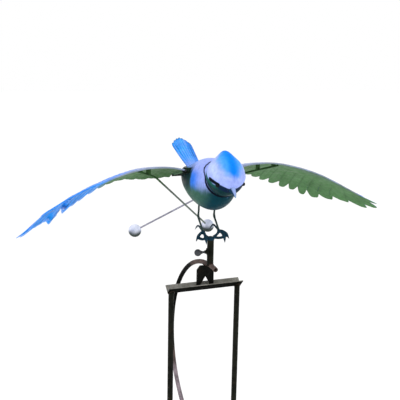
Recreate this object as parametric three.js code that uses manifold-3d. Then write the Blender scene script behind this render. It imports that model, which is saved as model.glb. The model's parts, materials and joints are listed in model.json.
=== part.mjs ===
// Rocking garden bird on a two-legged ground stake.
//
// A trough of angle iron carries a two-footed saddle. The saddle holds a C-shaped pendulum tube with an
// iron counterweight below it and the bird on a swivel post above it, so the bird rocks fore and aft.
// Each wing flaps on its own hinge pin, balanced by a ball on a rod that crosses under the bird.
//
// Millimetres, +Z up. The bird faces -Y and its left side is +X. The origin is on the ground line,
// midway between the two legs and straight below the rocking edge.

import * as THREE from 'three';
import { mergeVertices } from 'three/addons/utils/BufferGeometryUtils.js';
import Module from 'manifold-3d';

const wasm = await Module();
wasm.setup();

// ---------------------------------------------------------------- driving dimensions

const GAP = 0.3;                  // between pieces that touch
const SIDES = { left: 1, right: -1 };

const PIVOT_HEIGHT = 820;         // rocking edge above the ground line
const TROUGH = { length: 169, reach: 12.4, thickness: 2 };
const UPRIGHT = { spacing: 153, radius: 6, bore: 5, top: 3, joint: -450 };
const CONNECTOR = { radius: 4.6, length: 90 };
const JOINT_SCREW = { radius: 2, head: 3.6, chamfer: 0.8, headHeight: 2.2, length: 8, offset: 24 };
const SPIKE = { depth: 130, tube: 60, point: 0.8, plug: 30, plugRadius: 4.6 };
const BRACE = { height: 250, radius: 4 };
const STEP_BAR = { height: 45, depth: 25, thickness: 5 };

const SADDLE = {
  width: 38, top: 51, thickness: 5, foot: 8.5, notch: 28, footTop: 11, edge: 0.3, bevel: 5.5,
  shoulder: 42, crown: 24,
};
const ROCK_EDGE = 0.5;            // the saddle's edge above the inside corner of the trough
const ARC = { y: -21.5, z: -154.6, radius: 212.3, start: 98.7, end: -105.1, tube: 5, bore: 4 };
const COUNTERWEIGHT = { radius: 28 };

const POST = { y: -24.3, radius: 7, bore: 5.25, bottom: 56, top: 112, sides: 24 };
const SPIGOT = { radius: 5.15, bottom: 70, hubRadius: 8, hubTop: 119, chamfer: 2 };
const CLAMP = {
  z: 87, bore: 2.7, bossInner: 8.5, bossOuter: 4.2, bossEnd: 13, shank: 2.4, ball: 7.4, ballAt: 28,
};

// Half-width and the top and bottom lines of the body shell at stations from breast to rump.
const BODY_STATIONS = [
  { y: -88, half: 4, top: 228, bottom: 221 },
  { y: -80, half: 22, top: 247, bottom: 203 },
  { y: -64, half: 36, top: 267, bottom: 189 },
  { y: -40, half: 46, top: 281, bottom: 178 },
  { y: -8, half: 49, top: 281, bottom: 180 },
  { y: 24, half: 45, top: 271, bottom: 192 },
  { y: 54, half: 36, top: 260, bottom: 207 },
  { y: 84, half: 24, top: 252, bottom: 221 },
  { y: 108, half: 13, top: 248, bottom: 231 },
  { y: 124, half: 4, top: 244, bottom: 236 },
];
const SHELL = { thickness: 0.8, seam: 0.2, along: 16, around: 9 };
const HEAD = {
  y: -88, z: 256, radius: 40, narrow: 0.95, bow: 35, opening: 14, back: 128,
  crestHeight: 10, crestAngle: 139, crestLength: 34, crestWidth: 0.42, along: 12, around: 9,
};
const BEAK = { radius: 8.8, point: 0.6, from: 35, tip: 60, split: GAP };
const EYE = { radius: 3.6, side: 47, lift: 2 };
const TAIL = {
  rootY: 62, rootZ: 248, tipY: 164, tipZ: 299, rootHalf: 12, tipHalf: 21, thickness: 0.8, fold: 5, round: 0.1,
  along: 12, across: 8,
};

const LEG = { radius: 2.2, x: 18, hip: [-2, 187], knee: [0, 157], ankle: [-26, 130], stub: 9 };
const TOE_RADIUS = 2.2;
// Toes of the left foot: each runs from the ankle through a knuckle to the claw.
const TOES = [
  { knuckle: [20, -42, 125], claw: [20.5, -48, 110] },
  { knuckle: [30, -31, 127], claw: [37, -34, 116] },
  { knuckle: [17, -2, 135], claw: [16, 15, 125] },
];

const HINGE = {
  x: 53, y: 23, z: 249.3, tilt: 14, pin: 1.5, pinHead: 2.7, headHeight: 1.4, bore: 1.62, knuckle: 3.2,
  half: 31.5, ear: 2.5, notch: 7.8, notchRoom: 3,
};
const BRACKET = { inner: -20, bar: -8.5, barWidth: 2, outer: 4.5, height: 11, earBore: 1.8 };

// Leading and trailing edges of a wing at stations along the span, and how far the nose is pitched up.
const WING_STATIONS = [
  { x: 56.5, front: -20, back: 66, z: 260, pitch: 14 },
  { x: 100, front: -25, back: 110, z: 267.5, pitch: 15.5 },
  { x: 160, front: -31, back: 132, z: 265, pitch: 17 },
  { x: 240, front: -40, back: 118, z: 243, pitch: 19.5 },
  { x: 320, front: -48, back: 66, z: 205, pitch: 22 },
  { x: 398, front: -56, back: -26, z: 162, pitch: 25 },
];
const WING = { thickness: 0.61, camber: 0.05, along: 36, across: 3, feathers: 12, scallop: 7 };

// The right rod passes in front of the left one where they cross behind the legs.
const RODS = {
  left: { start: [156, -18], bend: [115, 52, 236.3], ball: [-80.5, 233, 79.2] },
  right: { start: [-156, -18], bend: [-113.6, 4, 245.7], ball: [77.8, 167, 94.6] },
};
const ROD = { radius: 2, drop: 3.4, ball: 13.5, seat: 8 };
const ROD_TABS = [0.14, 0.62];    // places along the rod's stretch under the wing
const TAB = { length: 9, thickness: 3, overlap: 6 };

// ---------------------------------------------------------------- geometry helpers

function toSolid(geometry) {
  const bare = geometry.clone();
  bare.deleteAttribute('normal');
  bare.deleteAttribute('uv');
  const merged = mergeVertices(bare, 1e-4);
  return new wasm.Manifold(new wasm.Mesh({
    numProp: 3,
    vertProperties: new Float32Array(merged.attributes.position.array),
    triVerts: new Uint32Array(merged.index.array),
  }));
}

function toGeometry(solid) {
  const mesh = solid.getMesh();
  const geometry = new THREE.BufferGeometry();
  geometry.setAttribute('position', new THREE.BufferAttribute(mesh.vertProperties, 3));
  geometry.setIndex(new THREE.BufferAttribute(mesh.triVerts, 1));
  geometry.computeVertexNormals();
  return geometry;
}

function cut(geometry, ...tools) {
  return toGeometry(tools.reduce((solid, tool) => solid.subtract(toSolid(tool)), toSolid(geometry)));
}

function fuse(first, ...rest) {
  return toGeometry(rest.reduce((solid, part) => solid.add(toSolid(part)), toSolid(first)));
}

function common(first, second) {
  return toGeometry(toSolid(first).intersect(toSolid(second)));
}

function vec(x, y, z) {
  return new THREE.Vector3(x, y, z);
}

function ringShape(radius, bore = 0) {
  const shape = new THREE.Shape();
  shape.absarc(0, 0, radius, 0, 2 * Math.PI);
  if (bore > 0) {
    const hole = new THREE.Path();
    hole.absarc(0, 0, bore, 0, 2 * Math.PI, true);
    shape.holes.push(hole);
  }
  return shape;
}

// A round tube or rod swept along a curve. An arc in a shape takes two points for each curve segment.
function sweep(curve, radius, { bore = 0, sides = 12, steps = 1 } = {}) {
  return new THREE.ExtrudeGeometry(ringShape(radius, bore), {
    extrudePath: curve, steps, curveSegments: sides / 2,
  });
}

function bar(from, to, radius, options) {
  return sweep(new THREE.LineCurve3(from, to), radius, options);
}

function ball(centre, radius, around = 16) {
  const sphere = new THREE.SphereGeometry(radius, around, Math.round(around * 0.7));
  return sphere.translate(centre.x, centre.y, centre.z);
}

// A wire bent at its middle points.
function bentWire(points, radius, sides = 8) {
  const pieces = [];
  for (let i = 1; i < points.length; i += 1) {
    pieces.push(bar(points[i - 1], points[i], radius, { sides }));
    if (i < points.length - 1) pieces.push(ball(points[i], radius * 1.02, sides));
  }
  return fuse(...pieces);
}

// Turns an outline drawn in Y and Z, extruded by depth, into a bar centred on X.
function extrudeAlongX(outline, depth) {
  const shape = new THREE.Shape(outline.map(([y, z]) => new THREE.Vector2(y, z)));
  const geometry = new THREE.ExtrudeGeometry(shape, { depth, bevelEnabled: false });
  const basis = new THREE.Matrix4().makeBasis(vec(0, 1, 0), vec(0, 0, 1), vec(1, 0, 0));
  return geometry.translate(0, 0, -depth / 2).applyMatrix4(basis);
}

// A box of cells bent into a shell: place(u, v, w) gives each point, with u, v and w from 0 to 1.
function bentSheet(along, across, place, flip = false) {
  const geometry = new THREE.BoxGeometry(1, 1, 1, along, across, 1);
  const position = geometry.attributes.position;
  for (let i = 0; i < position.count; i += 1) {
    const point = place(position.getX(i) + 0.5, position.getY(i) + 0.5, position.getZ(i) + 0.5);
    position.setXYZ(i, point.x, point.y, point.z);
  }
  if (flip) {
    const index = geometry.index;
    for (let i = 0; i < index.count; i += 3) {
      const second = index.getX(i + 1);
      index.setX(i + 1, index.getX(i + 2));
      index.setX(i + 2, second);
    }
  }
  geometry.computeVertexNormals();
  return geometry;
}

// Smooth lines through stations: returns a function of u from 0 to 1 that gives every named value.
function stationSpline(stations) {
  const keys = Object.keys(stations[0]);
  const splines = keys.map((key) => new THREE.SplineCurve(
    stations.map((station, i) => new THREE.Vector2(i, station[key])),
  ));
  return (u) => Object.fromEntries(keys.map((key, i) => [key, splines[i].getPoint(u).y]));
}

// ---------------------------------------------------------------- finishes

const FINISHES = {
  rustySteel: { color: 0x2c241f, roughness: 0.75, metalness: 0.5 },
  rustBrown: { color: 0x5d4c44, roughness: 0.8, metalness: 0.4 },
  darkIron: { color: 0x3a3836, roughness: 0.6, metalness: 0.6 },
  zinc: { color: 0x9a9c9a, roughness: 0.4, metalness: 0.9 },
  wireGrey: { color: 0x8a9088, roughness: 0.5, metalness: 0.5 },
  legTeal: { color: 0x35474f, roughness: 0.5, metalness: 0.3 },
  ballWhite: { color: 0xe8ecf2, roughness: 0.35, metalness: 0 },
  bodyBlue: { color: 0x7ea0f0, roughness: 0.4, metalness: 0.1 },
  headBlue: { color: 0x8fb0fa, roughness: 0.4, metalness: 0.1 },
  beakSlate: { color: 0x55708c, roughness: 0.4, metalness: 0.1 },
  eyeBlack: { color: 0x05080c, roughness: 0.1, metalness: 0 },
  tailBlue: { color: 0x3f96f5, roughness: 0.45, metalness: 0.2 },
  wingBlue: { color: 0x3a8ef0, roughness: 0.45, metalness: 0.2 },
};

const bird = new THREE.Group();
const pivot = new THREE.Group();
pivot.position.z = PIVOT_HEIGHT;
bird.add(pivot);

function addPiece(parent, name, geometry, finish) {
  const mesh = new THREE.Mesh(geometry, new THREE.MeshStandardMaterial(FINISHES[finish]));
  mesh.name = name;
  parent.add(mesh);
}

// ---------------------------------------------------------------- stand

function troughOutline() {
  const { reach, thickness } = TROUGH;
  const skin = thickness * Math.SQRT1_2;
  return [
    [-reach, reach], [0, 0], [reach, reach],
    [reach + skin, reach - skin], [0, -2 * skin], [-reach - skin, reach - skin],
  ];
}

// The wedge of space that the trough takes from the top of an upright.
function troughWedge() {
  const apex = -(TROUGH.thickness + GAP) * Math.SQRT2;
  const reach = UPRIGHT.radius + 2;
  return [[0, apex], [reach, apex + reach], [-reach, apex + reach]];
}

function screwHole(x, z) {
  const radius = JOINT_SCREW.radius + GAP;
  return bar(vec(x, -2 * UPRIGHT.radius, z), vec(x, CONNECTOR.radius + 1, z), radius, { sides: 10 });
}

function addStand() {
  addPiece(pivot, 'crossbar_trough', extrudeAlongX(troughOutline(), TROUGH.length), 'rustySteel');
  for (const [side, sign] of Object.entries(SIDES)) {
    const x = sign * UPRIGHT.spacing / 2;
    const upperHole = screwHole(x, UPRIGHT.joint + JOINT_SCREW.offset);
    const lowerHole = screwHole(x, UPRIGHT.joint - JOINT_SCREW.offset);
    const tube = { bore: UPRIGHT.bore, sides: 12 };
    const spikeTop = SPIKE.tube - SPIKE.depth - PIVOT_HEIGHT;

    const upper = bar(vec(x, 0, UPRIGHT.joint + GAP / 2), vec(x, 0, UPRIGHT.top), UPRIGHT.radius, tube);
    const notch = extrudeAlongX(troughWedge(), TROUGH.length + 2);
    addPiece(pivot, `upper_upright_${side}`, cut(upper, notch, upperHole), 'rustySteel');

    const lower = bar(vec(x, 0, spikeTop + GAP), vec(x, 0, UPRIGHT.joint - GAP / 2), UPRIGHT.radius, tube);
    addPiece(pivot, `lower_upright_${side}`, cut(lower, lowerHole), 'rustySteel');

    const half = CONNECTOR.length / 2;
    const connector = bar(vec(x, 0, UPRIGHT.joint - half), vec(x, 0, UPRIGHT.joint + half), CONNECTOR.radius);
    addPiece(pivot, `connector_pin_${side}`, cut(connector, upperHole, lowerHole), 'zinc');

    for (const [place, lift] of [['upper', JOINT_SCREW.offset], ['lower', -JOINT_SCREW.offset]]) {
      addPiece(pivot, `${place}_joint_screw_${side}`, jointScrew(x, UPRIGHT.joint + lift), 'zinc');
    }
    addPiece(pivot, `ground_spike_${side}`, groundSpike(x, spikeTop), 'rustySteel');
  }
  addBraces();
}

function jointScrew(x, z) {
  const face = -UPRIGHT.radius - GAP;
  const { radius, head, chamfer, headHeight, length } = JOINT_SCREW;
  const profile = [[0, 0], [radius, 0], [radius, length], [head, length],
    [head * chamfer, length + headHeight], [0, length + headHeight]];
  const screw = new THREE.LatheGeometry(profile.map(([r, y]) => new THREE.Vector2(r, y)), 10);
  return screw.rotateX(Math.PI).translate(x, face + length, z);
}

function groundSpike(x, top) {
  const { plug, plugRadius, point, tube } = SPIKE;
  const profile = [[0, -tube], [point, -tube], [UPRIGHT.radius, -0.25 * tube], [UPRIGHT.radius, 0],
    [plugRadius, 0], [plugRadius, plug], [0, plug]];
  const spike = new THREE.LatheGeometry(profile.map(([r, z]) => new THREE.Vector2(r, z)), 12);
  return spike.rotateX(Math.PI / 2).translate(x, 0, top);
}

function addBraces() {
  const span = UPRIGHT.spacing - 2 * UPRIGHT.radius - 2 * GAP;
  const brace = bar(vec(-span / 2, 0, 0), vec(span / 2, 0, 0), BRACE.radius);
  addPiece(bird, 'brace_rod', brace.translate(0, 0, BRACE.height), 'rustySteel');
  const step = new THREE.BoxGeometry(span, STEP_BAR.depth, STEP_BAR.thickness);
  addPiece(bird, 'step_bar', step.translate(0, 0, STEP_BAR.height + STEP_BAR.thickness / 2), 'rustySteel');
}

// ---------------------------------------------------------------- rocker

class PendulumArc extends THREE.Curve {
  constructor(start, end) {
    super();
    this.start = THREE.MathUtils.degToRad(start);
    this.end = THREE.MathUtils.degToRad(end);
  }

  getPoint(t, target = new THREE.Vector3()) {
    const angle = this.start + (this.end - this.start) * t;
    return target.set(0, ARC.y + ARC.radius * Math.cos(angle), ARC.z + ARC.radius * Math.sin(angle));
  }
}

function saddlePlate() {
  const half = SADDLE.width / 2;
  const outline = new THREE.Shape([
    [-half, 0], [-half + SADDLE.foot, 0], [-half + SADDLE.foot, SADDLE.footTop], [0, SADDLE.notch],
    [half - SADDLE.foot, SADDLE.footTop], [half - SADDLE.foot, 0], [half, 0], [half, SADDLE.shoulder],
    [SADDLE.crown / 2, SADDLE.top], [-SADDLE.crown / 2, SADDLE.top], [-half, SADDLE.shoulder],
  ].map(([x, z]) => new THREE.Vector2(x, z)));
  const slab = new THREE.ExtrudeGeometry(outline, { depth: SADDLE.thickness, bevelEnabled: false });
  slab.translate(0, 0, -SADDLE.thickness / 2).rotateX(Math.PI / 2);
  const t = SADDLE.thickness / 2;
  const wedge = [[-SADDLE.edge, ROCK_EDGE], [SADDLE.edge, ROCK_EDGE], [t, SADDLE.bevel], [t, SADDLE.top + 1],
    [-t, SADDLE.top + 1], [-t, SADDLE.bevel]];
  return common(slab, extrudeAlongX(wedge, SADDLE.width + 2));
}

function clampBoss() {
  const length = CLAMP.bossEnd;
  const cone = new THREE.CylinderGeometry(CLAMP.bossOuter, CLAMP.bossInner, length, 16);
  cone.rotateZ(Math.PI / 2).translate(-length / 2, POST.y, CLAMP.z);
  const sleeve = bar(
    vec(0, POST.y, POST.bottom), vec(0, POST.y, POST.top + 1), POST.radius + GAP, { sides: POST.sides },
  );
  return cut(cone, sleeve, clampBore());
}

function clampBore() {
  return bar(vec(-2 * CLAMP.bossEnd, POST.y, CLAMP.z), vec(0, POST.y, CLAMP.z), CLAMP.bore, { sides: 16 });
}

function addRocker() {
  addPiece(pivot, 'saddle_plate', saddlePlate(), 'rustySteel');
  const path = new PendulumArc(ARC.start, ARC.end);
  const tube = sweep(path, ARC.tube, { bore: ARC.bore, sides: 8, steps: 40 });
  addPiece(pivot, 'pendulum_tube', tube, 'rustBrown');

  const underPost = new PendulumArc(ARC.start, ARC.start - 30);
  const clearance = sweep(underPost, ARC.tube + GAP, { sides: 12, steps: 10 });
  const sleeve = bar(
    vec(0, POST.y, POST.bottom), vec(0, POST.y, POST.top), POST.radius,
    { bore: POST.bore, sides: POST.sides },
  );
  addPiece(pivot, 'post_sleeve', cut(sleeve, clearance, clampBore()), 'rustySteel');
  addPiece(pivot, 'clamp_boss', clampBoss(), 'rustySteel');

  const seat = path.getPoint(1);
  const socket = sweep(new PendulumArc(ARC.end + 20, ARC.end), ARC.tube + GAP, { sides: 12, steps: 6 });
  addPiece(pivot, 'counterweight', cut(ball(seat, COUNTERWEIGHT.radius, 18), socket), 'darkIron');
}

function addClampScrew() {
  const at = (x) => vec(x, POST.y, CLAMP.z);
  const shank = bar(at(-CLAMP.ballAt), at(-SPIGOT.radius - GAP), CLAMP.shank, { sides: 12 });
  const socket = bar(at(-CLAMP.ballAt - GAP), at(0), CLAMP.shank + GAP, { sides: 12 });
  addPiece(pivot, 'clamp_screw_shank', shank, 'zinc');
  addPiece(pivot, 'clamp_ball_knob', cut(ball(at(-CLAMP.ballAt), CLAMP.ball, 16), socket), 'darkIron');
}

// ---------------------------------------------------------------- bird: body, head, tail

const bodyAt = stationSpline(BODY_STATIONS);

// A point on the body: u from breast to rump, angle from the back line round to the belly line.
function bodyPoint(u, angle, sign, inset) {
  const { y, half, top, bottom } = bodyAt(u);
  const rise = ((top - bottom) / 2 - inset) * Math.cos(angle);
  return vec(sign * (half - inset) * Math.sin(angle), y, (top + bottom) / 2 + rise);
}

function bodyShell(sign) {
  return bentSheet(SHELL.along, SHELL.around, (u, v, w) => {
    const point = bodyPoint(u, Math.PI * v, sign, SHELL.thickness * w);
    point.x += sign * SHELL.seam;
    return point;
  }, sign < 0);
}

// The space that the body fills, grown by a margin.
function bodyEnvelope(grow) {
  const geometry = new THREE.CylinderGeometry(1, 1, 1, 2 * SHELL.around, SHELL.along);
  const position = geometry.attributes.position;
  for (let i = 0; i < position.count; i += 1) {
    const x = position.getX(i);
    const z = position.getZ(i);
    const u = 0.5 + position.getY(i);
    const point = bodyPoint(u, Math.atan2(x, z), 1, -grow);
    const centre = bodyAt(u);
    const middle = (centre.top + centre.bottom) / 2;
    const spread = Math.hypot(x, z);
    position.setXYZ(i, point.x * spread, point.y, middle + (point.z - middle) * spread);
  }
  return geometry;
}

const bow = THREE.MathUtils.degToRad(HEAD.bow);
const beakward = vec(0, -Math.cos(bow), -Math.sin(bow));
const crownward = vec(0, -Math.sin(bow), Math.cos(bow));

// A point on the head: polar angle from the beak, turned about the beak's axis from crown to throat.
function headPoint(polar, turn, sign, inset) {
  const side = Math.sin(polar) * Math.sin(turn);
  const up = Math.sin(polar) * Math.cos(turn);
  const forward = Math.cos(polar);
  const lift = THREE.MathUtils.radToDeg(Math.acos(THREE.MathUtils.clamp(
    forward * Math.cos(THREE.MathUtils.degToRad(HEAD.crestAngle))
    + up * Math.sin(THREE.MathUtils.degToRad(HEAD.crestAngle)), -1, 1,
  ))) / HEAD.crestLength;
  const crest = HEAD.crestHeight * Math.exp(-lift * lift - (side / HEAD.crestWidth) ** 2);
  const radius = HEAD.radius + crest - inset;
  return vec(0, HEAD.y, HEAD.z)
    .addScaledVector(beakward, radius * forward)
    .addScaledVector(crownward, radius * up)
    .add(vec(sign * (HEAD.narrow * radius * side + SHELL.seam), 0, 0));
}

function eyeCentre(sign) {
  const angle = THREE.MathUtils.degToRad(EYE.side);
  return vec(0, HEAD.y, HEAD.z)
    .addScaledVector(beakward, HEAD.radius * Math.cos(angle))
    .addScaledVector(crownward, EYE.lift)
    .add(vec(sign * HEAD.narrow * HEAD.radius * Math.sin(angle), 0, 0));
}

function headShell(sign, body) {
  const first = THREE.MathUtils.degToRad(HEAD.opening);
  const last = THREE.MathUtils.degToRad(HEAD.back);
  const shell = bentSheet(HEAD.along, HEAD.around, (u, v, w) => headPoint(
    first + (last - first) * u, Math.PI * v, sign, SHELL.thickness * w,
  ), sign < 0);
  return cut(shell, body, ball(eyeCentre(sign), EYE.radius + GAP, 14));
}

function beakHalf(sign) {
  const { radius, point, from, tip, split } = BEAK;
  const base = vec(0, HEAD.y, HEAD.z).addScaledVector(beakward, (from + tip) / 2);
  const cone = new THREE.CylinderGeometry(point, radius, tip - from, 16);
  const half = new THREE.BoxGeometry(4 * radius, 4 * tip, 2 * radius);
  half.translate(0, 0, sign * (radius + split / 2));
  const turned = common(cone, half);
  const basis = new THREE.Matrix4().makeBasis(vec(-1, 0, 0), beakward, crownward);
  return turned.applyMatrix4(basis).translate(base.x, base.y, base.z);
}

function tailSheet(grow) {
  const root = vec(0, TAIL.rootY, TAIL.rootZ);
  const run = vec(0, TAIL.tipY, TAIL.tipZ).sub(root);
  const normal = vec(0, -run.z, run.y).normalize();
  return bentSheet(TAIL.along, TAIL.across, (u, v, w) => {
    const across = 1 - 2 * v;
    const half = THREE.MathUtils.lerp(TAIL.rootHalf, TAIL.tipHalf, Math.sqrt(u)) + grow;
    const reach = 1 + grow / run.length() - TAIL.round * across * across * u;
    const rise = TAIL.fold * (1 - across * across) * u;
    return root.clone()
      .addScaledVector(run, u * reach)
      .addScaledVector(normal, rise + (w - 0.5) * (TAIL.thickness + 2 * grow))
      .add(vec(across * half, 0, 0));
  });
}

function addBody() {
  const tailSlot = tailSheet(GAP);
  const body = bodyEnvelope(SHELL.seam + GAP);
  for (const [side, sign] of Object.entries(SIDES)) {
    addPiece(pivot, `body_shell_${side}`, cut(bodyShell(sign), tailSlot), 'bodyBlue');
    addPiece(pivot, `head_shell_${side}`, headShell(sign, body), 'headBlue');
    addPiece(pivot, `eye_${side}`, ball(eyeCentre(sign), EYE.radius, 12), 'eyeBlack');
  }
  addPiece(pivot, 'beak_upper', beakHalf(1), 'beakSlate');
  addPiece(pivot, 'beak_lower', beakHalf(-1), 'beakSlate');
  addPiece(pivot, 'tail_fan', tailSheet(0), 'tailBlue');
}

// ---------------------------------------------------------------- bird: legs, feet, swivel

function addLegs() {
  const { radius, hubRadius, bottom, hubTop, chamfer } = SPIGOT;
  const profile = [[0, bottom], [radius, bottom], [radius, POST.top + GAP], [hubRadius, POST.top + GAP],
    [hubRadius, hubTop - chamfer], [hubRadius - chamfer, hubTop], [0, hubTop]];
  const spigot = new THREE.LatheGeometry(profile.map(([r, z]) => new THREE.Vector2(r, z)), POST.sides);
  addPiece(pivot, 'swivel_spigot', spigot.rotateX(Math.PI / 2).translate(0, POST.y, 0), 'legTeal');

  const body = bodyEnvelope(SHELL.seam + GAP);
  for (const [side, sign] of Object.entries(SIDES)) {
    const [hip, knee, ankle] = [LEG.hip, LEG.knee, LEG.ankle].map(([y, z]) => vec(sign * LEG.x, y, z));
    const shin = knee.clone().sub(ankle).normalize();
    const joint = ankle.clone().addScaledVector(shin, LEG.stub);
    const shinEnd = joint.clone().addScaledVector(shin, GAP);
    addPiece(pivot, `leg_${side}`, cut(bentWire([hip, knee, shinEnd], LEG.radius), body), 'legTeal');
    addPiece(pivot, `foot_${side}`, foot(sign, ankle, joint), 'legTeal');
  }
}

function foot(sign, ankle, joint) {
  const wires = TOES.map(({ knuckle, claw }) => bentWire(
    [ankle, ...[knuckle, claw].map(([x, y, z]) => vec(sign * x, y, z))], TOE_RADIUS, 6,
  ));
  const hubEdge = vec(sign * (SPIGOT.hubRadius + TOE_RADIUS / 2), POST.y, SPIGOT.hubTop - SPIGOT.chamfer);
  const stub = bar(ankle, joint, LEG.radius, { sides: 8 });
  return fuse(ball(ankle, LEG.radius, 10), stub, bar(ankle, hubEdge, TOE_RADIUS, { sides: 6 }), ...wires);
}

// ---------------------------------------------------------------- wing hinges

// Places a piece drawn with the pin along Y and the wing towards +X onto the hinge of one side.
function ontoHinge(geometry, sign) {
  const tilt = THREE.MathUtils.degToRad(-HINGE.tilt);
  geometry.rotateX(tilt).translate(HINGE.x, HINGE.y, HINGE.z);
  return sign > 0 ? geometry : mirrored(geometry);
}

function mirrored(geometry) {
  return toGeometry(toSolid(geometry).mirror([1, 0, 0]));
}

function hingeBracket(sign, body) {
  const earAt = HINGE.half + GAP + HINGE.ear / 2;
  const depth = BRACKET.outer - BRACKET.inner;
  const ears = [earAt, -earAt].map((y) => new THREE.BoxGeometry(depth, HINGE.ear, BRACKET.height)
    .translate((BRACKET.outer + BRACKET.inner) / 2, y, 0));
  const spine = new THREE.BoxGeometry(BRACKET.barWidth, 2 * earAt + HINGE.ear, BRACKET.height)
    .translate(BRACKET.bar + BRACKET.barWidth / 2, 0, 0);
  const reach = earAt + 2 * HINGE.ear;
  const hole = bar(vec(0, -reach, 0), vec(0, reach, 0), BRACKET.earBore, { sides: 16 });
  return cut(ontoHinge(cut(fuse(spine, ...ears), hole), sign), body);
}

// The space that the wing sheet leaves for one ear of the bracket.
function earNotch(sign, end) {
  const near = HINGE.half * end;
  const far = (HINGE.half + HINGE.ear + HINGE.notchRoom) * end;
  return ontoHinge(bar(vec(0, near, 0), vec(0, far, 0), HINGE.notch, { sides: 16 }), sign);
}

function hingePin(sign) {
  const { pin, pinHead, headHeight } = HINGE;
  const end = HINGE.half + HINGE.ear + 2 * GAP;
  const profile = [[0, -end - headHeight], [pinHead, -end - headHeight], [pinHead, -end], [pin, -end],
    [pin, end], [pinHead, end], [pinHead, end + headHeight], [0, end + headHeight]];
  return ontoHinge(new THREE.LatheGeometry(profile.map(([r, y]) => new THREE.Vector2(r, y)), 16), sign);
}

function addHinges() {
  const body = bodyEnvelope(SHELL.seam + GAP);
  for (const [side, sign] of Object.entries(SIDES)) {
    addPiece(pivot, `hinge_bracket_${side}`, hingeBracket(sign, body), 'darkIron');
    addPiece(pivot, `hinge_pin_${side}`, hingePin(sign), 'zinc');
    const knuckle = bar(
      vec(0, -HINGE.half, 0), vec(0, HINGE.half, 0), HINGE.knuckle, { bore: HINGE.bore, sides: 16 },
    );
    addPiece(pivot, `wing_knuckle_${side}`, ontoHinge(knuckle, sign), 'darkIron');
  }
}

// ---------------------------------------------------------------- wings

const wingAt = stationSpline(WING_STATIONS);

// A point on a wing: u along the span, v from leading to trailing edge, lift above the sheet's middle.
function wingPoint(u, v, lift, sign) {
  const { x, front, back, z, pitch } = wingAt(u);
  const feather = (u * WING.feathers) % 1;
  const chord = back - front - WING.scallop * v * (1 - Math.sin(Math.PI * feather)) * Math.min(1, 4 * u);
  const across = chord * v;
  const arch = WING.camber * chord * 4 * v * (1 - v);
  const slope = Math.tan(THREE.MathUtils.degToRad(pitch));
  return vec(sign * x, front + across, z - across * slope + arch + lift);
}

function wingSheet(sign, below, above) {
  return bentSheet(
    WING.along, WING.across, (u, v, w) => wingPoint(u, v, below + (above - below) * w, sign), sign < 0,
  );
}

// Where the sheet lies above a place (x, y): the span is found by bisection.
function wingHeight(x, y) {
  let low = 0;
  let high = 1;
  for (let i = 0; i < 30; i += 1) {
    const middle = (low + high) / 2;
    if (wingAt(middle).x < x) low = middle;
    else high = middle;
  }
  const { front, back } = wingAt(low);
  return wingPoint(low, (y - front) / (back - front), 0, 1).z;
}

function addWing(side, sign) {
  const half = WING.thickness / 2;
  const sheet = cut(wingSheet(sign, -half, half), ...[1, -1].map((end) => earNotch(sign, end)));
  addPiece(pivot, `wing_sheet_${side}`, sheet, 'wingBlue');

  const plan = RODS[side];
  const [startX, startY] = plan.start;
  const start = vec(startX, startY, wingHeight(Math.abs(startX), startY) - ROD.drop);
  const bend = vec(...plan.bend);
  const centre = vec(...plan.ball);
  const end = centre.clone().lerp(bend, (ROD.ball - ROD.seat) / centre.distanceTo(bend));
  addPiece(pivot, `balance_rod_${side}`, bentWire([start, bend, end], ROD.radius), 'wireGrey');

  const socket = bar(end.clone().lerp(centre, 0.05), bend, ROD.radius + GAP, { sides: 8 });
  addPiece(pivot, `balance_ball_${side}`, cut(ball(centre, ROD.ball, 16), socket), 'ballWhite');

  const aboveSheet = wingSheet(sign, -half - GAP, 4 * TAB.overlap);
  const rodSpace = bar(start, bend, ROD.radius + GAP, { sides: 8 });
  ROD_TABS.forEach((place, i) => {
    const foot = start.clone().lerp(bend, place);
    const height = wingHeight(Math.abs(foot.x), foot.y) + TAB.overlap - foot.z;
    const tab = new THREE.BoxGeometry(TAB.length, TAB.thickness, height);
    tab.translate(foot.x, foot.y, foot.z + height / 2);
    addPiece(pivot, `rod_tab_${i + 1}_${side}`, cut(tab, aboveSheet, rodSpace), 'darkIron');
  });
}

// ---------------------------------------------------------------- assembly

addStand();
addRocker();
addClampScrew();
addLegs();
addBody();
addHinges();
for (const [side, sign] of Object.entries(SIDES)) addWing(side, sign);

export default bird;
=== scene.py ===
"""Rocking garden bird on a two-legged stake: the visual model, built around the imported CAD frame.

Shapes are written in millimetres from the inside corner of the trough, straight above the origin, and world()
turns them into metres in the frame. The bird faces -Y and its left side is +X.
"""
import json
import math

import bpy
import numpy as np
from mathutils import Matrix, Vector, noise

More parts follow.
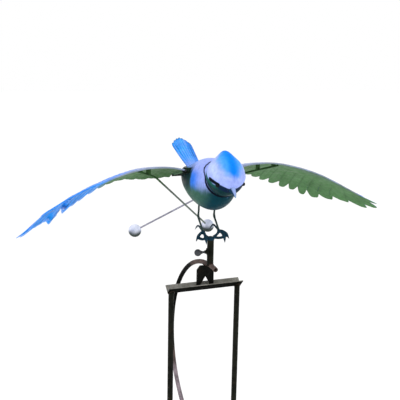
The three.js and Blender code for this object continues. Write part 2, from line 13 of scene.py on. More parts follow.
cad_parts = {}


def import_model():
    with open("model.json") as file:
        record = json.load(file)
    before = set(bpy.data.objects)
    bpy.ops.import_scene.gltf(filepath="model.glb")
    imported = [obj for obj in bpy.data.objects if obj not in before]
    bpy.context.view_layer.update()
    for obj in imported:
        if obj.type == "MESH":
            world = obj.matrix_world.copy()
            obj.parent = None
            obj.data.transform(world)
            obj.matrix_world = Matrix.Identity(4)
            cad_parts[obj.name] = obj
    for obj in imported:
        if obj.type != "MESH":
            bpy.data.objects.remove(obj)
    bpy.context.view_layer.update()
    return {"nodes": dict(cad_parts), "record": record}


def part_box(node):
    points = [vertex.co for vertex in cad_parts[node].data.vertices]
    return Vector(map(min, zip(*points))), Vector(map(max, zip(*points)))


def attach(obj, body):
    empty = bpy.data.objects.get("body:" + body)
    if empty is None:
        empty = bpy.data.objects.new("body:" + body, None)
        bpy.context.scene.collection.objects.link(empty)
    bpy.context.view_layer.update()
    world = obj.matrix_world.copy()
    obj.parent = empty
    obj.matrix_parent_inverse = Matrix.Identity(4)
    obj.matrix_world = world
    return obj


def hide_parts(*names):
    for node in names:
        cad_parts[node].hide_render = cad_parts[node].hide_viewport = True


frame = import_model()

MM = 0.001
SIDES = {"left": 1, "right": -1}
JOINTS = {joint["name"]: joint for joint in frame["record"]["behaviour"]["joints"]}
ROCK_EDGE = 0.5                     # the rocking edge stands this far above the trough's inside corner
PIVOT = Vector(JOINTS["rock"]["pos_m"]) - Vector((0, 0, ROCK_EDGE * MM))
X_AXIS, Y_AXIS, Z_AXIS = Vector((1, 0, 0)), Vector((0, 1, 0)), Vector((0, 0, 1))


def world(point):
    """Millimetres from the trough's inside corner to metres in the frame."""
    return Vector(point) * MM + PIVOT


def local(point):
    return (Vector(point) - PIVOT) / MM


def node_ends(node):
    """The low and high corners of a node's box, in millimetres."""
    return [local(corner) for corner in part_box(node)]


def node_middle(node):
    low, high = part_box(node)
    return local((low + high) / 2)


def node_half(node, axis):
    """Half a node's size along an axis, in millimetres."""
    low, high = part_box(node)
    return (high[axis] - low[axis]) / 2 / MM


# ---- camera, light and floor

CAMERA_PLACE = (-0.5942, -1.3412, 1.2967)
CAMERA_AZIMUTH = -23.35             # 0 looks along +Y
CAMERA_PITCH = 11.01                # downwards
CAMERA_ROLL = 1.12                  # about the line of sight
LENS = 64.6
SENSOR_WIDTH = 36
FLOOR_HALF = 30                     # metres


def add_camera():
    data = bpy.data.cameras.new("camera")
    data.lens = LENS
    data.sensor_width = SENSOR_WIDTH
    data.clip_end = 100
    turn = Matrix.Rotation(math.radians(CAMERA_AZIMUTH), 4, "Z")
    tilt = Matrix.Rotation(math.radians(90 - CAMERA_PITCH), 4, "X")
    roll = Matrix.Rotation(math.radians(CAMERA_ROLL), 4, "Z")
    camera = bpy.data.objects.new("camera", data)
    camera.matrix_world = Matrix.Translation(CAMERA_PLACE) @ (turn @ tilt @ roll)
    bpy.context.scene.collection.objects.link(camera)
    bpy.context.scene.camera = camera


def add_area_light(name, place, target, size, watts, colour):
    data = bpy.data.lights.new(name, "AREA")
    data.shape = "DISK"
    data.size = size
    data.energy = watts
    data.color = colour
    lamp = bpy.data.objects.new(name, data)
    aim = Vector(target) - Vector(place)
    lamp.matrix_world = Matrix.Translation(place) @ aim.to_track_quat("-Z", "Y").to_matrix().to_4x4()
    bpy.context.scene.collection.objects.link(lamp)


def set_inputs(node, values):
    for socket, value in values.items():
        node.inputs[socket].default_value = value


def add_world():
    sky = bpy.data.worlds.new("studio")
    sky.use_nodes = True
    set_inputs(sky.node_tree.nodes["Background"], {"Color": (1, 1, 1, 1), "Strength": 1.0})
    bpy.context.scene.world = sky


def add_floor():
    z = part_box("ground_spike_left")[0].z - MM
    mesh = bpy.data.meshes.new("floor")
    corners = [(x * FLOOR_HALF, y * FLOOR_HALF, z) for x, y in ((-1, -1), (1, -1), (1, 1), (-1, 1))]
    mesh.from_pydata(corners, [], [(0, 1, 2, 3)])
    floor = bpy.data.objects.new("floor", mesh)
    pale = bpy.data.materials.new("floor_pale")
    pale.use_nodes = True
    set_inputs(pale.node_tree.nodes["Principled BSDF"], {
        "Base Color": (0.98, 0.98, 0.98, 1), "Roughness": 0.9,
        "Emission Color": (1, 1, 1, 1), "Emission Strength": 0.04,
    })
    mesh.materials.append(pale)
    bpy.context.scene.collection.objects.link(floor)


add_camera()
add_world()
add_floor()
add_area_light("key", (-1.6, -1.2, 3.4), (0, 0, 1.0), size=1.6, watts=26, colour=(1, 0.99, 0.97))
add_area_light("fill", (2.4, -2.2, 2.0), (0, 0, 0.9), size=2.0, watts=6, colour=(0.96, 0.98, 1))
bpy.context.scene.view_settings.view_transform = "Standard"


# ---- colours and materials

def srgb(code):
    """A colour such as '3E8CF0' as linear red, green and blue."""
    parts = [int(code[i:i + 2], 16) / 255 for i in (0, 2, 4)]
    return np.array([c / 12.92 if c <= 0.04045 else ((c + 0.055) / 1.055) ** 2.4 for c in parts])


def mix(first, second, amount):
    """A blend of two colours, each a code or an array."""
    first, second = (srgb(colour) if isinstance(colour, str) else colour for colour in (first, second))
    return first + (second - first) * min(1.0, max(0.0, amount))


def coats(colour, *layers):
    """Lays one (colour, amount) pair after another over a first colour."""
    for layer, amount in layers:
        colour = mix(colour, layer, amount)
    return colour


def step(value, low, high):
    """Smooth 0 to 1 as value goes from low to high."""
    t = min(1.0, max(0.0, (value - low) / (high - low)))
    return t * t * (3 - 2 * t)


def peak(offset, width):
    """1 at no offset, falling off smoothly on both sides."""
    return math.exp(-(offset / width) ** 2)


MATERIALS = {}


class Nodes:
    """A short way to write a material's node tree."""

    def __init__(self, name):
        material = MATERIALS[name] = bpy.data.materials.new(name)
        material.use_nodes = True
        self.tree = material.node_tree
        self.shader = self.tree.nodes["Principled BSDF"]
        self.place = self.tree.nodes.new("ShaderNodeTexCoord").outputs["Object"]

    def fill(self, node, inputs):
        """Puts a number, a colour or another node's output on each of a node's inputs."""
        for socket, value in inputs.items():
            if isinstance(value, bpy.types.NodeSocket):
                self.tree.links.new(value, node.inputs[socket])
            else:
                node.inputs[socket].default_value = value

    def add(self, kind, inputs, output):
        node = self.tree.nodes.new(kind)
        self.fill(node, inputs)
        return node.outputs[output]

    def noise(self, scale, detail, roughness=0.55, stretch=None):
        place = self.place
        if stretch:
            place = self.add("ShaderNodeMapping", {"Scale": stretch, "Vector": place}, "Vector")
        inputs = {"Scale": scale, "Detail": detail, "Roughness": roughness, "Vector": place}
        return self.add("ShaderNodeTexNoise", inputs, "Fac")

    def spread(self, source, low, high, start=0.35, end=0.65):
        """Low to high, as a noise goes from start to end."""
        inputs = {"From Min": start, "From Max": end, "To Min": low, "To Max": high, "Value": source}
        return self.add("ShaderNodeMapRange", inputs, "Result")

    def blend(self, amount, first, second, kind="MIX"):
        node = self.tree.nodes.new("ShaderNodeMix")
        node.data_type = "RGBA"
        node.blend_type = kind
        first, second = ((*srgb(c), 1) if isinstance(c, str) else c for c in (first, second))
        self.fill(node, {0: amount, 6: first, 7: second})
        return node.outputs[2]

    def shaded(self, colour, factor):
        return self.blend(1.0, colour, factor, "MULTIPLY")

    def tint(self):
        """The colours that the mesh brings with it."""
        node = self.tree.nodes.new("ShaderNodeAttribute")
        node.attribute_name = "tint"
        return node.outputs["Color"]

    def bump(self, source, strength, distance):
        inputs = {"Strength": strength, "Distance": distance, "Height": source}
        self.fill(self.shader, {"Normal": self.add("ShaderNodeBump", inputs, "Normal")})

    def finish(self, colour, roughness, metallic=0.0, coat=0.0, gloss=0.25):
        self.fill(self.shader, {"Base Color": colour, "Roughness": roughness, "Metallic": metallic,
                                "Specular IOR Level": gloss})
        if coat:
            set_inputs(self.shader, {"Coat Weight": coat, "Coat Roughness": 0.15})


def painted(name, mottle, stretch=None, coat=0.0, base=None, gloss=0.05):
    """Brushed enamel over sheet metal: the mesh's own tint or one base colour, with strokes and chips."""
    nodes = Nodes(name)
    brushed = nodes.spread(nodes.noise(160, 6, 0.6, stretch), 1 - mottle, 1 + mottle)
    clouds = nodes.spread(nodes.noise(38, 3), 1 - 0.6 * mottle, 1 + 0.6 * mottle)
    shade = nodes.shaded(nodes.shaded(base or nodes.tint(), brushed), clouds)
    chips = nodes.spread(nodes.noise(420, 2, 0.7), 0.0, 1.0, 0.735, 0.76)
    shade = nodes.blend(chips, shade, "56616A")
    nodes.bump(nodes.noise(300, 5, 0.6, stretch), 0.22, 0.0004)
    nodes.finish(shade, nodes.spread(nodes.noise(90, 4), 0.34, 0.58), coat=coat, gloss=gloss)


def rusted(name, dark, light, patches, metallic=0.35, shine=0.0, gloss=0.12):
    """Steel with a thin brown skin of rust, lighter where it is rubbed."""
    nodes = Nodes(name)
    broad = nodes.spread(nodes.noise(26, 6, 0.65), 0.0, 1.0, 0.38, 0.66)
    colour = nodes.blend(broad, dark, light)
    spots = nodes.spread(nodes.noise(120, 7, 0.7), 0.0, 0.75, 0.55, 0.68)
    colour = nodes.blend(spots, colour, patches)
    colour = nodes.shaded(colour, nodes.spread(nodes.noise(620, 4, 0.7), 0.72, 1.25))
    nodes.bump(nodes.noise(340, 6, 0.75), 0.55, 0.0006)
    rough = nodes.spread(nodes.noise(150, 5), 0.5 - shine, 0.85 - shine)
    nodes.finish(colour, rough, metallic, gloss=gloss)


def plated(name, colour):
    """Bright plating that has dulled unevenly."""
    nodes = Nodes(name)
    shade = nodes.shaded(colour, nodes.spread(nodes.noise(110, 5), 0.8, 1.1))
    nodes.bump(nodes.noise(900, 3), 0.15, 0.0002)
    nodes.finish(shade, nodes.spread(nodes.noise(200, 4), 0.25, 0.45), metallic=0.9)


painted("feather_paint", 0.14, stretch=(0.35, 1.6, 1.0))
painted("feather_under", 0.12, stretch=(0.5, 1.3, 1.0), coat=0.02)
painted("body_paint", 0.1)
painted("leg_paint", 0.25)
painted("ball_paint", 0.04, coat=0.03)
painted("eye_gloss", 0.1, coat=0.15, base="020610")
rusted("stand_rust", "0A0C08", "1F2119", "2C241A")
# pale steel for the trough's upward faces near the top: painted light from above
rusted("top_steel_painted_light", "67655F", "9A9892", "6E5A4C", metallic=0.3, shine=0.1)
rusted("trough_black", "020302", "070A06", "0F0D09", metallic=0.0, gloss=0.02)
rusted("saddle_black", "030403", "0C0D09", "1C150E")
painted("tube_paint", 0.3, gloss=0.02)
rusted("iron_cast", "1B1A19", "3B3835", "4A342A", metallic=0.4)
rusted("knob_iron", "35373A", "53565A", "473C36", metallic=0.5, shine=0.1)
rusted("bracket_black", "0C1612", "2C4632", "24342A", metallic=0.1, shine=0.15, gloss=0.05)
painted("tab_sage", 0.15, base="36562F")
plated("zinc", "A7AAA8")
rusted("weld", "16110E", "382D27", "4A3226", metallic=0.5, shine=0.15)


# ---- mesh helpers

def add_piece(name, body, materials, shape, replaced=None, sharp=None, thickness=None,
              face_material=None):
    """Makes one piece from a shape in millimetres and hands it to its body.

    A shape is its vertices, its faces and, for painted pieces, each vertex's colour. Edges sharper than sharp
    degrees stay crisp. A thickness makes a sheet solid, and face_material numbers each face's material.
    """
    vertices, faces, tints = (*shape, None)[:3]
    mesh = bpy.data.meshes.new(name)
    mesh.from_pydata([world(v) for v in vertices], [], faces)
    if tints is not None:
        colours = np.ones((len(vertices), 4), np.float32)
        colours[:, :3] = np.asarray(tints, np.float32)
        layer = mesh.color_attributes.new("tint", "FLOAT_COLOR", "POINT")
        layer.data.foreach_set("color", colours.ravel())
    for material in materials.split():
        mesh.materials.append(MATERIALS[material])
    mesh.polygons.foreach_set("use_smooth", [True] * len(mesh.polygons))
    if face_material is not None:
        mesh.polygons.foreach_set("material_index", face_material)
    mesh.validate()
    mesh.update()
    if sharp:
        mesh.set_sharp_from_angle(angle=math.radians(sharp))
    piece = bpy.data.objects.new(name, mesh)
    bpy.context.scene.collection.objects.link(piece)
    if thickness:
        piece.modifiers.new("thickness", "SOLIDIFY").thickness = thickness * MM
    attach(piece, body)
    if replaced:
        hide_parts(replaced)


def carry(node, material, bevel=0.35):
    """Keeps a CAD node, with rounded edges and a real finish."""
    piece = frame["nodes"][node]
    piece.data.materials.clear()
    piece.data.materials.append(MATERIALS[material])
    if bevel:
        rounding = piece.modifiers.new("edges", "BEVEL")
        rounding.width = bevel * MM
        rounding.segments = 3
        rounding.limit_method = "ANGLE"
        rounding.angle_limit = math.radians(35)
    return piece


def spline(values):
    """A smooth curve through values: returns a function of t from 0 to 1."""
    points = np.asarray(values, float)
    last = len(points) - 1

    def at(t):
        place = min(max(t, 0.0), 1.0) * last
        i = min(int(place), last - 1)
        w = place - i
        before = points[i - 1] if i > 0 else points[i]
        after = points[i + 2] if i + 2 <= last else points[last]
        slope_a = (points[i + 1] - before) * 0.5
        slope_b = (after - points[i]) * 0.5
        rise = points[i] - points[i + 1]
        return ((2 * rise + slope_a + slope_b) * w ** 3
                + (-3 * rise - 2 * slope_a - slope_b) * w ** 2 + slope_a * w + points[i])
    return at


def sampled(curve, count):
    return [curve(i / count) for i in range(count + 1)]


def grid(place, along, across, tint=None, flip=False):
    """A sheet of quads from place(u, v); tint(u, v, point) gives each point's colour."""
    vertices, tints, faces = [], [], []
    for i in range(along + 1):
        for j in range(across + 1):
            u, v = i / along, j / across
            point = place(u, v)
            vertices.append(point)
            if tint:
                tints.append(tint(u, v, point))
    for i in range(along):
        for j in range(across):
            a = i * (across + 1) + j
            quad = (a, a + 1, a + across + 2, a + across + 1)
            faces.append(quad[::-1] if flip else quad)
    return vertices, faces, tints or None


def crossways(axis):
    """Two directions square to an axis and to each other."""
    seed = X_AXIS if abs(axis.x) < 0.9 else Y_AXIS
    side = (seed - axis * seed.dot(axis)).normalized()
    return side, axis.cross(side)


def spokes(side, up, count):
    """Directions out from an axis, all the way round."""
    angles = [2 * math.pi * k / count for k in range(count)]
    return [side * math.cos(a) + up * math.sin(a) for a in angles]


def loop(centre, across, up, count, height=None):
    """Points round a closed loop with the radii across and up; height(point) lays them on a surface."""
    points = [Vector(centre) + Vector(across) * math.cos(a) + Vector(up) * math.sin(a)
              for a in np.linspace(0, 2 * math.pi, count)]
    if height:
        for point in points:
            point.z = height(point)
    return points


def bridge(a, b, sides):
    """Quads between the rings of points that start at a and b."""
    return [(a + k, a + (k + 1) % sides, b + (k + 1) % sides, b + k) for k in range(sides)]


def skin(rings, sides):
    """Faces round a stack of rings, closed at both ends."""
    faces = [quad for i in range(rings - 1) for quad in bridge(i * sides, (i + 1) * sides, sides)]
    return faces + [tuple(reversed(range(sides))), tuple(range((rings - 1) * sides, rings * sides))]


def frames(path):
    """Points with their side and up directions, turned as little as possible along the path."""
    points = [Vector(p) for p in path]
    forwards = [(after - before).normalized()
                for before, after in zip(points[:1] + points[:-1], points[1:] + points[-1:])]
    side, _ = crossways(forwards[0])
    result = []
    for point, forward in zip(points, forwards):
        side = (side - forward * side.dot(forward)).normalized()
        result.append((point, side, forward.cross(side)))
    return result


def rod(path, radius, sides, bore=None, ripple=0.0, seed=0):
    """A closed round bar along a path. radius is a number or a function of t; bore makes it a tube."""
    stations = frames(path)
    last = len(stations) - 1

    def rings(size_at):
        points = []
        for i, (point, side, up) in enumerate(stations):
            size = size_at(i / last)
            for out in spokes(side, up, sides):
                spot = (point + out * size) * 0.35 + X_AXIS * seed
                points.append(point + out * (size + (ripple * noise.noise(spot) if ripple else 0)))
        return points

    vertices = rings(radius if callable(radius) else lambda t: radius)
    faces = skin(last + 1, sides)
    if bore:
        first, end = len(vertices), last * sides
        vertices += rings(lambda t: bore)
        walls = faces[:-2]
        faces = walls + [tuple(first + k for k in quad[::-1]) for quad in walls]
        faces += bridge(first, 0, sides) + bridge(end, first + end, sides)
    return vertices, faces


def lathe(profile, base, axis, sides):
    """A turned piece: profile is (radius, distance along axis), from one end of the axis to the other."""
    axis = Vector(axis).normalized()
    outs = spokes(*crossways(axis), sides)
    vertices = [Vector(base) + axis * along + out * radius for radius, along in profile for out in outs]
    return vertices, skin(len(profile), sides)


def globe_profile(radius, start, end, steps):
    """Half a circle's outline, for a ball turned about its own axis."""
    angles = [math.pi * (start + (end - start) * i / steps) for i in range(steps + 1)]
    return [(radius * math.sin(angle), -radius * math.cos(angle)) for angle in angles]


def merged(*parts):
    """Several solids as one mesh."""
    vertices, faces = [], []
    for part_vertices, part_faces in parts:
        first = len(vertices)
        vertices += part_vertices
        faces += [tuple(first + k for k in face) for face in part_faces]
    return vertices, faces


def tinted(shape, colour_at):
    """A shape with a colour at each of its points."""
    vertices, faces = shape[:2]
    return vertices, faces, [colour_at(v) for v in vertices]


def speckled(shape, colour, spread=0.12):
    """One colour that drifts a little from place to place."""
    base = srgb(colour)
    return tinted(shape, lambda v: base * (1 + spread * noise.noise(v * 0.12)))


# ---- stand

CORE = 0.1                          # a turned outline starts and ends this near its axis
RIPPLE = 0.12                       # of drawn and rusted steel
WELD_OUT = 0.4                      # a weld's middle stands this far off the bar it runs round
UPRIGHT = node_half("lower_upright_left", 0)
UPRIGHT_BORE = UPRIGHT - 1.0
UPRIGHT_X = node_middle("upper_upright_left").x
JOINT_Z = node_ends("upper_upright_left")[0].z
TROUGH_SKIN = 2.9                   # from the trough's inside corner down to its outside corner
SCREW_HEAD = 2.2                    # height of a joint screw's head and washer
SCREW_SHANK = 1.95
WASHER = 3.55
WASHER_TOP = 0.5
HEXAGON = 3.0
SPIKE_POINT = [(0.3, 0), (0.9, 1.5), (2.6, 16), (4.6, 34), (UPRIGHT, 46)]
SPIKE_PLUG = 30                     # how far a spike goes up inside its tube
BRACE = 4.0
STEP_BAR_HALF = 5.0


def weld_bead(name, body, path, seed, radius=1.1):
    bead = rod(path, lambda t: radius * (0.9 + 0.25 * math.sin(38 * t + seed)), 10, ripple=0.9, seed=seed)
    add_piece(name, body, "weld", bead)


def upright_mouth(point):
    """The height of the trough's outside faces above a place on the upright's wall."""
    return abs(point.y) - TROUGH_SKIN - 0.3


def add_upright_tube(part, side, low, high):
    sign = SIDES[side]
    path = [(sign * UPRIGHT_X, 0, z) for z in np.linspace(low, high, 60)]
    tube = rod(path, UPRIGHT, 36, bore=UPRIGHT_BORE, ripple=RIPPLE, seed=sign)
    for vertex in tube[0]:
        if vertex.z > -1:
            vertex.z = upright_mouth(vertex)
    add_piece(f"{part}_upright_tube_{side}", "stand", "stand_rust", tube,
              replaced=f"{part}_upright_{side}")


def add_uprights():
    for side, sign in SIDES.items():
        add_upright_tube("upper", side, JOINT_Z, 0)
        wide = UPRIGHT + WELD_OUT
        ring = loop((sign * UPRIGHT_X, 0, 0), X_AXIS * wide, Y_AXIS * wide, 40, upright_mouth)
        weld_bead(f"upright_weld_{side}", "stand", ring, sign + 3)
        low, high = node_ends(f"lower_upright_{side}")
        add_upright_tube("lower", side, low.z, high.z)
        carry(f"connector_pin_{side}", "zinc", 0)


def add_joint_screws():
    for side in SIDES:
        for place in ("upper", "lower"):
            node = f"{place}_joint_screw_{side}"
            low, high = node_ends(node)
            base = ((low.x + high.x) / 2, high.y, (low.z + high.z) / 2)
            under = high.y - low.y - SCREW_HEAD
            seat = under + WASHER_TOP
            top = under + SCREW_HEAD
            shank = [(CORE, 0), (SCREW_SHANK, 0), (SCREW_SHANK, under), (CORE, under)]
            washer = [(CORE, under - 0.1), (WASHER, under - 0.1), (WASHER, seat), (CORE, seat)]
            hexagon = [(CORE, seat), (HEXAGON - 0.1, seat), (HEXAGON, seat + 0.3), (HEXAGON, top - 0.3),
                       (HEXAGON - 0.5, top), (CORE, top)]
            turned = [lathe(profile, base, -Y_AXIS, sides)
                      for profile, sides in ((shank, 20), (washer, 28), (hexagon, 6))]
            add_piece(f"{place}_hex_screw_{side}", "stand", "zinc", merged(*turned),
                      replaced=node, sharp=30)


def add_spikes():
    for side, sign in SIDES.items():
        low, high = node_ends(f"ground_spike_{side}")
        x = sign * UPRIGHT_X
        shoulder = high.z - SPIKE_PLUG
        profile = SPIKE_POINT + [(UPRIGHT, shoulder - low.z)]
        body = lathe(profile, (x, 0, low.z), Z_AXIS, 28)
        wide = UPRIGHT_BORE - 0.5
        plug = [(wide, 0), (wide, SPIKE_PLUG - 0.5), (wide - 0.5, SPIKE_PLUG)]
        plug = lathe(plug, (x, 0, shoulder - 0.01), Z_AXIS, 24)
        add_piece(f"forged_spike_{side}", "stand", "stand_rust", merged(body, plug),
                  replaced=f"ground_spike_{side}", sharp=40)


def add_braces():
    """The round brace and the flat step bar, each welded to both uprights."""
    low, high = node_ends("brace_rod")
    path = [(x, 0, (low.z + high.z) / 2) for x in np.linspace(low.x, high.x, 40)]
    add_piece("brace_bar", "stand", "stand_rust", rod(path, BRACE, 24, ripple=RIPPLE, seed=5),
              replaced="brace_rod")
    carry("step_bar", "stand_rust", 0.9)
    for node, half_y, half_z in (("brace_rod", BRACE, BRACE),
                                 ("step_bar", STEP_BAR_HALF, node_half("step_bar", 2))):
        low, high = node_ends(node)
        for side, sign in SIDES.items():
            centre = (sign * (high.x + 0.2), 0, (low.z + high.z) / 2)
            ring = loop(centre, Y_AXIS * (half_y + WELD_OUT), Z_AXIS * (half_z + WELD_OUT), 30)
            weld_bead(f"{node}_weld_{side}", "stand", ring, sign + 9)


def add_trough():
    """The trough, black outside, and pale steel on its upward faces near the top, where the knife edges rock:
    painted light falling from above.
    """
    trough = carry("crossbar_trough", "trough_black", 0.4)
    trough.data.materials.append(MATERIALS["top_steel_painted_light"])
    place = trough.matrix_world
    for face in trough.data.polygons:
        faces_up = (place.to_3x3() @ face.normal).z > 0.3
        inside = local(place @ face.center).z > -1
        # upward faces near the top take the pale steel as painted light from above; the rest stay black
        face.material_index = int(faces_up and inside)


add_uprights()
add_joint_screws()
add_spikes()
add_braces()
add_trough()


# ---- rocker and clamp

TUBE = 5.0                          # radius of the pendulum tube
TUBE_BORE = 4.0
ARC_CENTRE = Vector((0, -21.5, -154.6))
ARC_RADIUS = 212.3
ARC_TOP = ARC_CENTRE.z + ARC_RADIUS
ARC_START = 98.7
WEIGHT = node_middle("counterweight")
ARC_END = math.degrees(math.atan2(WEIGHT.z - ARC_CENTRE.z, WEIGHT.y - ARC_CENTRE.y))
SADDLE_WELD = 1.3
SADDLE_WELD_HALF = 4.6              # half of its length, across the tube
SADDLE_WELD_Y = 2.9
POST_Y = node_middle("post_sleeve").y
POST_RADIUS = node_half("post_sleeve", 0)
POST_BORE = POST_RADIUS - 1.75
POST_LOW = 60.0
POST_TOP = node_ends("post_sleeve")[1].z
CLAMP_Z = node_middle("clamp_boss").z
CLAMP_BORE = 2.7
FLARE_TIP = 3.4
FLARE_SPREAD = 5.2
THREAD = 2.15
THREAD_DEPTH = 0.22
THREAD_TURNS = 22


def arc_point(degrees):
    angle = math.radians(degrees)
    return ARC_CENTRE + ARC_RADIUS * Vector((0, math.cos(angle), math.sin(angle)))


def post_foot(point):
    """The height of the pendulum tube's wall under the post."""
    return ARC_TOP + math.sqrt(max(0.0, TUBE ** 2 + 0.8 - point.x ** 2))


def tube_tint(point):
    """Brown at the top, black round the bend behind, and a pale mauve grey lower down."""
    drift = noise.noise(point * 0.03) + 0.5 * noise.noise(point * 0.12)
    height = point.z + 8 * drift
    behind = step(point.y + 8 * drift, 50, 85) * step(height, -226, -196)
    return coats("857A80", ("594B47", step(height, -258, -226)), ("030402", behind))


def add_pendulum():
    path = [arc_point(a) for a in np.linspace(ARC_START, ARC_END, 170)]
    tube = rod(path, TUBE, 32, bore=TUBE_BORE, ripple=0.15, seed=2)
    add_piece("pendulum_bend", "rocker", "tube_paint", tinted(tube, tube_tint),
              replaced="pendulum_tube", sharp=50)
    carry("saddle_plate", "saddle_black", 0.5)
    for name, sign in (("rear", 1), ("front", -1)):
        under = [(x, sign * SADDLE_WELD_Y, ARC_TOP - SADDLE_WELD - math.sqrt(TUBE ** 2 - x * x))
                 for x in np.linspace(-SADDLE_WELD_HALF, SADDLE_WELD_HALF, 16)]
        weld_bead(f"saddle_weld_{name}", "rocker", under, sign + 20, SADDLE_WELD)


def add_counterweight():
    size = node_half("counterweight", 0)
    ball = lathe(globe_profile(size, 0.004, 0.996, 44), WEIGHT, X_AXIS, 64)
    seam = loop(WEIGHT, Y_AXIS * (size - 0.2), Z_AXIS * (size - 0.2), 72)
    add_piece("cast_counterweight", "rocker", "iron_cast",
              merged(ball, rod(seam, 0.55, 8, ripple=0.3)), replaced="counterweight", sharp=60)
    collar = arc_point(ARC_END + math.degrees(size / ARC_RADIUS))
    ahead = (arc_point(ARC_END) - collar).normalized()
    wide = TUBE + 0.3
    ring = loop(collar, X_AXIS * wide, ahead.cross(X_AXIS) * wide, 36)
    weld_bead("counterweight_weld", "rocker", ring, 31, radius=1.4)


def add_post():
    path = [(0, POST_Y, z) for z in np.linspace(POST_LOW, POST_TOP, 40)]
    post = rod(path, POST_RADIUS, 40, bore=POST_BORE, ripple=RIPPLE, seed=7)
    for vertex in post[0]:
        if vertex.z < POST_LOW + 0.5:
            vertex.z = post_foot(vertex)
    add_piece("post_tube", "rocker", "stand_rust", post, replaced="post_sleeve", sharp=50)
    wide = POST_RADIUS + 0.3
    ring = loop((0, POST_Y, 0), X_AXIS * wide, Y_AXIS * wide, 44, lambda point: post_foot(point) + 0.2)
    weld_bead("post_weld", "rocker", ring, 12, radius=1.3)

    outer = node_ends("clamp_boss")[0].x
    path = [(x, POST_Y, CLAMP_Z) for x in np.linspace(0.6 - POST_RADIUS, outer, 24)]
    flare = rod(path, lambda t: FLARE_TIP + FLARE_SPREAD * (1 - t) ** 2.4, 36, bore=CLAMP_BORE, ripple=0.1)
    add_piece("clamp_flare", "rocker", "stand_rust", flare, replaced="clamp_boss", sharp=50)


def add_clamp_knob():
    low, high = node_ends("clamp_screw_shank")
    length = high.x - low.x

    def thread(t):
        depth = THREAD_DEPTH * math.sin(2 * math.pi * THREAD_TURNS * t) if t > 0.3 else 0
        return THREAD + depth, t * length

    core = CORE / 2
    profile = [(core, 0)] + sampled(thread, 8 * THREAD_TURNS) + [(core, length)]
    add_piece("clamp_thread", "clamp_knob", "knob_iron",
              lathe(profile, (low.x, POST_Y, CLAMP_Z), X_AXIS, 24), replaced="clamp_screw_shank", sharp=50)
    size = node_half("clamp_ball_knob", 2)
    ball = globe_profile(size, 0.004, 0.86, 34)
    neck = [(4.0, size * 0.93), (3.1, size + 1.2), (2.7, size + 3.2), (core, size + 3.3)]
    centre = (node_middle("clamp_ball_knob").x, POST_Y, CLAMP_Z)
    add_piece("clamp_ball", "clamp_knob", "knob_iron", lathe(ball + neck, centre, X_AXIS, 48),
              replaced="clamp_ball_knob", sharp=60)


add_pendulum()
add_counterweight()
add_post()
add_clamp_knob()


# ---- bird: body

# y, half-width, top and bottom of the body from breast to rump.
BODY = np.array([
    (-88, 4, 228, 221), (-80, 22, 247, 203), (-64, 36, 267, 189), (-40, 46, 281, 178), (-8, 49, 281, 180),
    (24, 45, 271, 192), (54, 36, 260, 207), (84, 24, 252, 221), (108, 13, 248, 231), (124, 4, 244, 236),
], float)
BODY_AT = spline(BODY)
BODY_TABLE = np.array(sampled(BODY_AT, 400))
SHEET = 0.8                         # pressed steel of the body and head
SEAM = 0.15                         # half of the gap between two pressed halves


def look_up(table, place, *columns):
    """Values of a table's columns at a place given by its first one."""
    return [np.interp(place, table[:, 0], table[:, k]) for k in columns]


def body_depth(point):
    """Below 1 inside the body and above 1 outside it, as a share of the body's own section."""
    x, y, z = point
    if not BODY_TABLE[0, 0] < y < BODY_TABLE[-1, 0]:
        return 9.0
    half, top, bottom = look_up(BODY_TABLE, y, 1, 2, 3)
    return math.hypot(x / half, (z - (top + bottom) / 2) / ((top - bottom) / 2))


def body_point(u, v, sign):
    y, half, top, bottom = BODY_AT(u)
    close = math.sqrt(max(0.0, 1 - max(0.0, (u - 0.965) / 0.035) ** 2)) * math.sqrt(min(1.0, u / 0.02 + 0.04))
    angle = math.pi * v
    x = sign * (half * close * math.sin(angle) + SEAM)
    return Vector((x, y, (top + bottom) / 2 + (top - bottom) / 2 * close * math.cos(angle)))


def strokes(point, scale, seed=0):
    return noise.noise(Vector((point[0] * scale[0], point[1] * scale[1], point[2] * scale[2] + seed)))


LAVENDER, PALE_BLUE, SHOULDER = "98A9EE", "6AA4F2", "1E78EE"
SAGE, TEAL, FAR_FLANK_SHADE, UNDERWING_SHADE, INK = "3E6656", "003440", "123C30", "08222E", "000818"


def body_tint(u, v, point):
    """Blue above, green below with painted shade on the far flank and under the wings, and a dark necklace
    where the head sits.
    """
    x, y, z = point
    drift = strokes(point, (0.06, 0.06, 0.06))
    shoulder = step(abs(x), 31, 46) * (1 - step(z, 252, 272)) * step(y, -62, -34)
    upper = coats(LAVENDER, (PALE_BLUE, step(y, -30, 50)), (SHOULDER, 0.9 * shoulder))
    front = (1 - step(abs(x), 18, 46)) * (1 - step(y, 0, 70))
    # painted shade: darker on the far (left) flank, and a dark band of painted shadow along the body under
    # the wings
    lower = coats(SAGE, (TEAL, front), (FAR_FLANK_SHADE, 0.5 * step(x, 10, 40)),
                  (UNDERWING_SHADE, 0.85 * step(z, 210, 232) * step(y, -34, -14)))
    edge = 228 + 7 * drift + 4 * strokes(point, (0.3, 0.3, 0.05), 5) + 36 * step(y, -30, -16)
    off = point - HEAD_CENTRE
    out = off.normalized()
    away = off.length - head_reach(out.dot(BEAKWARD), out.dot(CROWNWARD), abs(out.x))
    low = step(HEAD_CENTRE.z - z, -8, 26)
    high = step(z - HEAD_CENTRE.z, -8, 14)
    inner = 9 * high
    outer = inner + 1.2 + 2.2 * low + 1.2 * high
    necklace = step(away, inner - 0.8, inner) * (1 - step(away, outer, outer + 0.8))
    return coats(lower, (upper, step(z, edge - 14, edge + 13)), (INK, necklace))


# ---- bird: head

